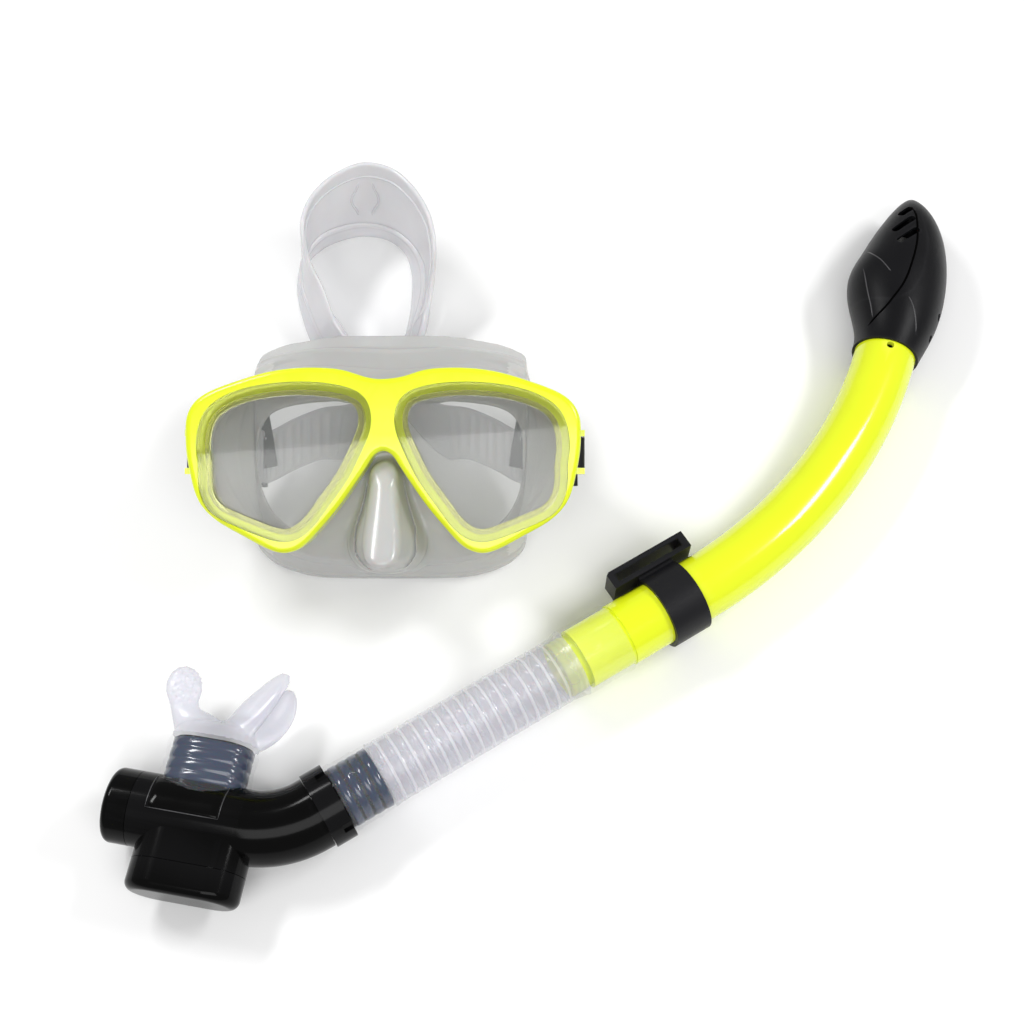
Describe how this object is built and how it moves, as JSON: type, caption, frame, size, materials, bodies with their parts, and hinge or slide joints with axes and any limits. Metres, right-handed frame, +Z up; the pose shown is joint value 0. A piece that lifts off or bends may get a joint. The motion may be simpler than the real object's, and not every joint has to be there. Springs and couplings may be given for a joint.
{
  "type": "snorkel mask set",
  "caption": "Diving mask with silicone skirt, swivel buckles and split head strap, laid beside its dry-top snorkel with rigid tube, ribbed hose, purge chamber and mouthpiece.",
  "frame": {"origin": "middle of the overall box, at table level", "axes": "+Z up from the table, +X to the right as laid out, +Y away from the user, towards the head strap"},
  "size_m": [0.3475, 0.3204, 0.0789],
  "materials": {
    "frame_yellow": "glossy",
    "ring_clear": "polished, faceted",
    "lens_glass": "polished",
    "skirt_silicone": "satin, translucent",
    "strap_silicone": "satin, translucent",
    "hose_silicone": "satin, translucent",
    "mouthpiece_silicone": "satin, translucent",
    "black_matte": "fine texture",
    "black_gloss": "glossy",
    "pin_steel": "plain",
    "seal_rubber": "matte",
    "float_foam": "matte"
  },
  "bodies": {
    "mask": {"mask_frame": "frame_yellow", "lens_ring_left": "ring_clear", "lens_ring_right": "ring_clear", "lens_left": "lens_glass", "lens_right": "lens_glass", "skirt": "skirt_silicone", "strap": "strap_silicone", "hinge_pin_left": "pin_steel", "hinge_pin_right": "pin_steel"},
    "buckle_left": {"buckle_left": "black_matte", "lever_pin_left": "pin_steel"},
    "buckle_right": {"buckle_right": "black_matte", "lever_pin_right": "pin_steel"},
    "roller_left": {"strap_roller_left": "black_matte"},
    "roller_right": {"strap_roller_right": "black_matte"},
    "lever_left": {"release_lever_left": "black_gloss"},
    "lever_right": {"release_lever_right": "black_gloss"},
    "snorkel": {"rigid_tube": "frame_yellow", "dry_top_base": "black_matte", "dry_top_cap": "black_matte", "valve_seat": "black_matte", "flap_pin": "pin_steel", "flex_hose": "hose_silicone"},
    "keeper": {"keeper": "black_matte"},
    "float": {"float": "float_foam"},
    "flap": {"valve_flap": "black_matte", "flap_seal": "seal_rubber"},
    "chamber": {"chamber": "black_gloss", "hose_collar": "black_gloss", "chamber_end_cap": "black_gloss", "purge_cover": "black_gloss", "purge_seat": "black_matte", "mouthpiece": "mouthpiece_silicone"},
    "purge_valve": {"purge_valve": "seal_rubber"}
  },
  "joints": [
    {"name": "buckle_left_swing", "type": "hinge", "parent": "mask", "child": "buckle_left", "pos_m": [-0.14728, 0.00977, 0.05295], "axis": [0, 0.8988, 0.4384], "range_deg": [-3, 55], "deforming": ["strap"]},
    {"name": "buckle_right_swing", "type": "hinge", "parent": "mask", "child": "buckle_right", "pos_m": [0.00379, 0.00977, 0.05295], "axis": [0, -0.8988, -0.4384], "range_deg": [-3, 55], "deforming": ["strap"]},
    {"name": "roller_left_turn", "type": "hinge", "parent": "buckle_left", "child": "roller_left", "pos_m": [-0.13434, 0.02354, 0.02473], "axis": [0, 0.8988, 0.4384], "continuous": true},
    {"name": "roller_right_turn", "type": "hinge", "parent": "buckle_right", "child": "roller_right", "pos_m": [-0.00916, 0.02354, 0.02473], "axis": [0, -0.8988, -0.4384], "continuous": true},
    {"name": "lever_left_press", "type": "hinge", "parent": "buckle_left", "child": "lever_left", "pos_m": [-0.14518, 0.01931, 0.03341], "axis": [0, 0.8988, 0.4384], "range_deg": [0, 8], "stiffness_Nm_per_rad": 0.02},
    {"name": "lever_right_press", "type": "hinge", "parent": "buckle_right", "child": "lever_right", "pos_m": [0.00168, 0.01931, 0.03341], "axis": [0, -0.8988, -0.4384], "range_deg": [0, 8], "stiffness_Nm_per_rad": 0.02},
    {"name": "snorkel_lift", "type": "slide", "parent": "mask", "child": "snorkel", "axis": [0, 0, 1], "range_m": [0, 0.15]},
    {"name": "keeper_turn", "type": "hinge", "parent": "snorkel", "child": "keeper", "pos_m": [0.04239, -0.04058, 0.01885], "axis": [0.8526, 0.5225, 0], "continuous": true},
    {"name": "float_slide", "type": "slide", "parent": "snorkel", "child": "float", "axis": [0.3173, 0.9483, 0], "range_m": [0, 0.005]},
    {"name": "valve_flap_swing", "type": "hinge", "parent": "snorkel", "child": "flap", "pos_m": [0.15663, 0.09452, 0.01885], "axis": [0, 0, 1], "range_deg": [0, 35.1]},
    {"name": "flex_bend", "type": "hinge", "parent": "snorkel", "child": "chamber", "pos_m": [-0.03562, -0.08839, 0.01885], "axis": [0, 0, 1], "range_deg": [-8, 50], "stiffness_Nm_per_rad": 0.05, "deforming": ["flex_hose"]},
    {"name": "purge_valve_lift", "type": "slide", "parent": "chamber", "child": "purge_valve", "axis": [-0.1736, -0.9848, 0], "range_m": [0, 0.0012], "stiffness_N_per_m": 20}
  ],
  "couplings": [
    {"joint": "valve_flap_swing", "follows": "float_slide", "rad_per_m": 122.1}
  ]
}
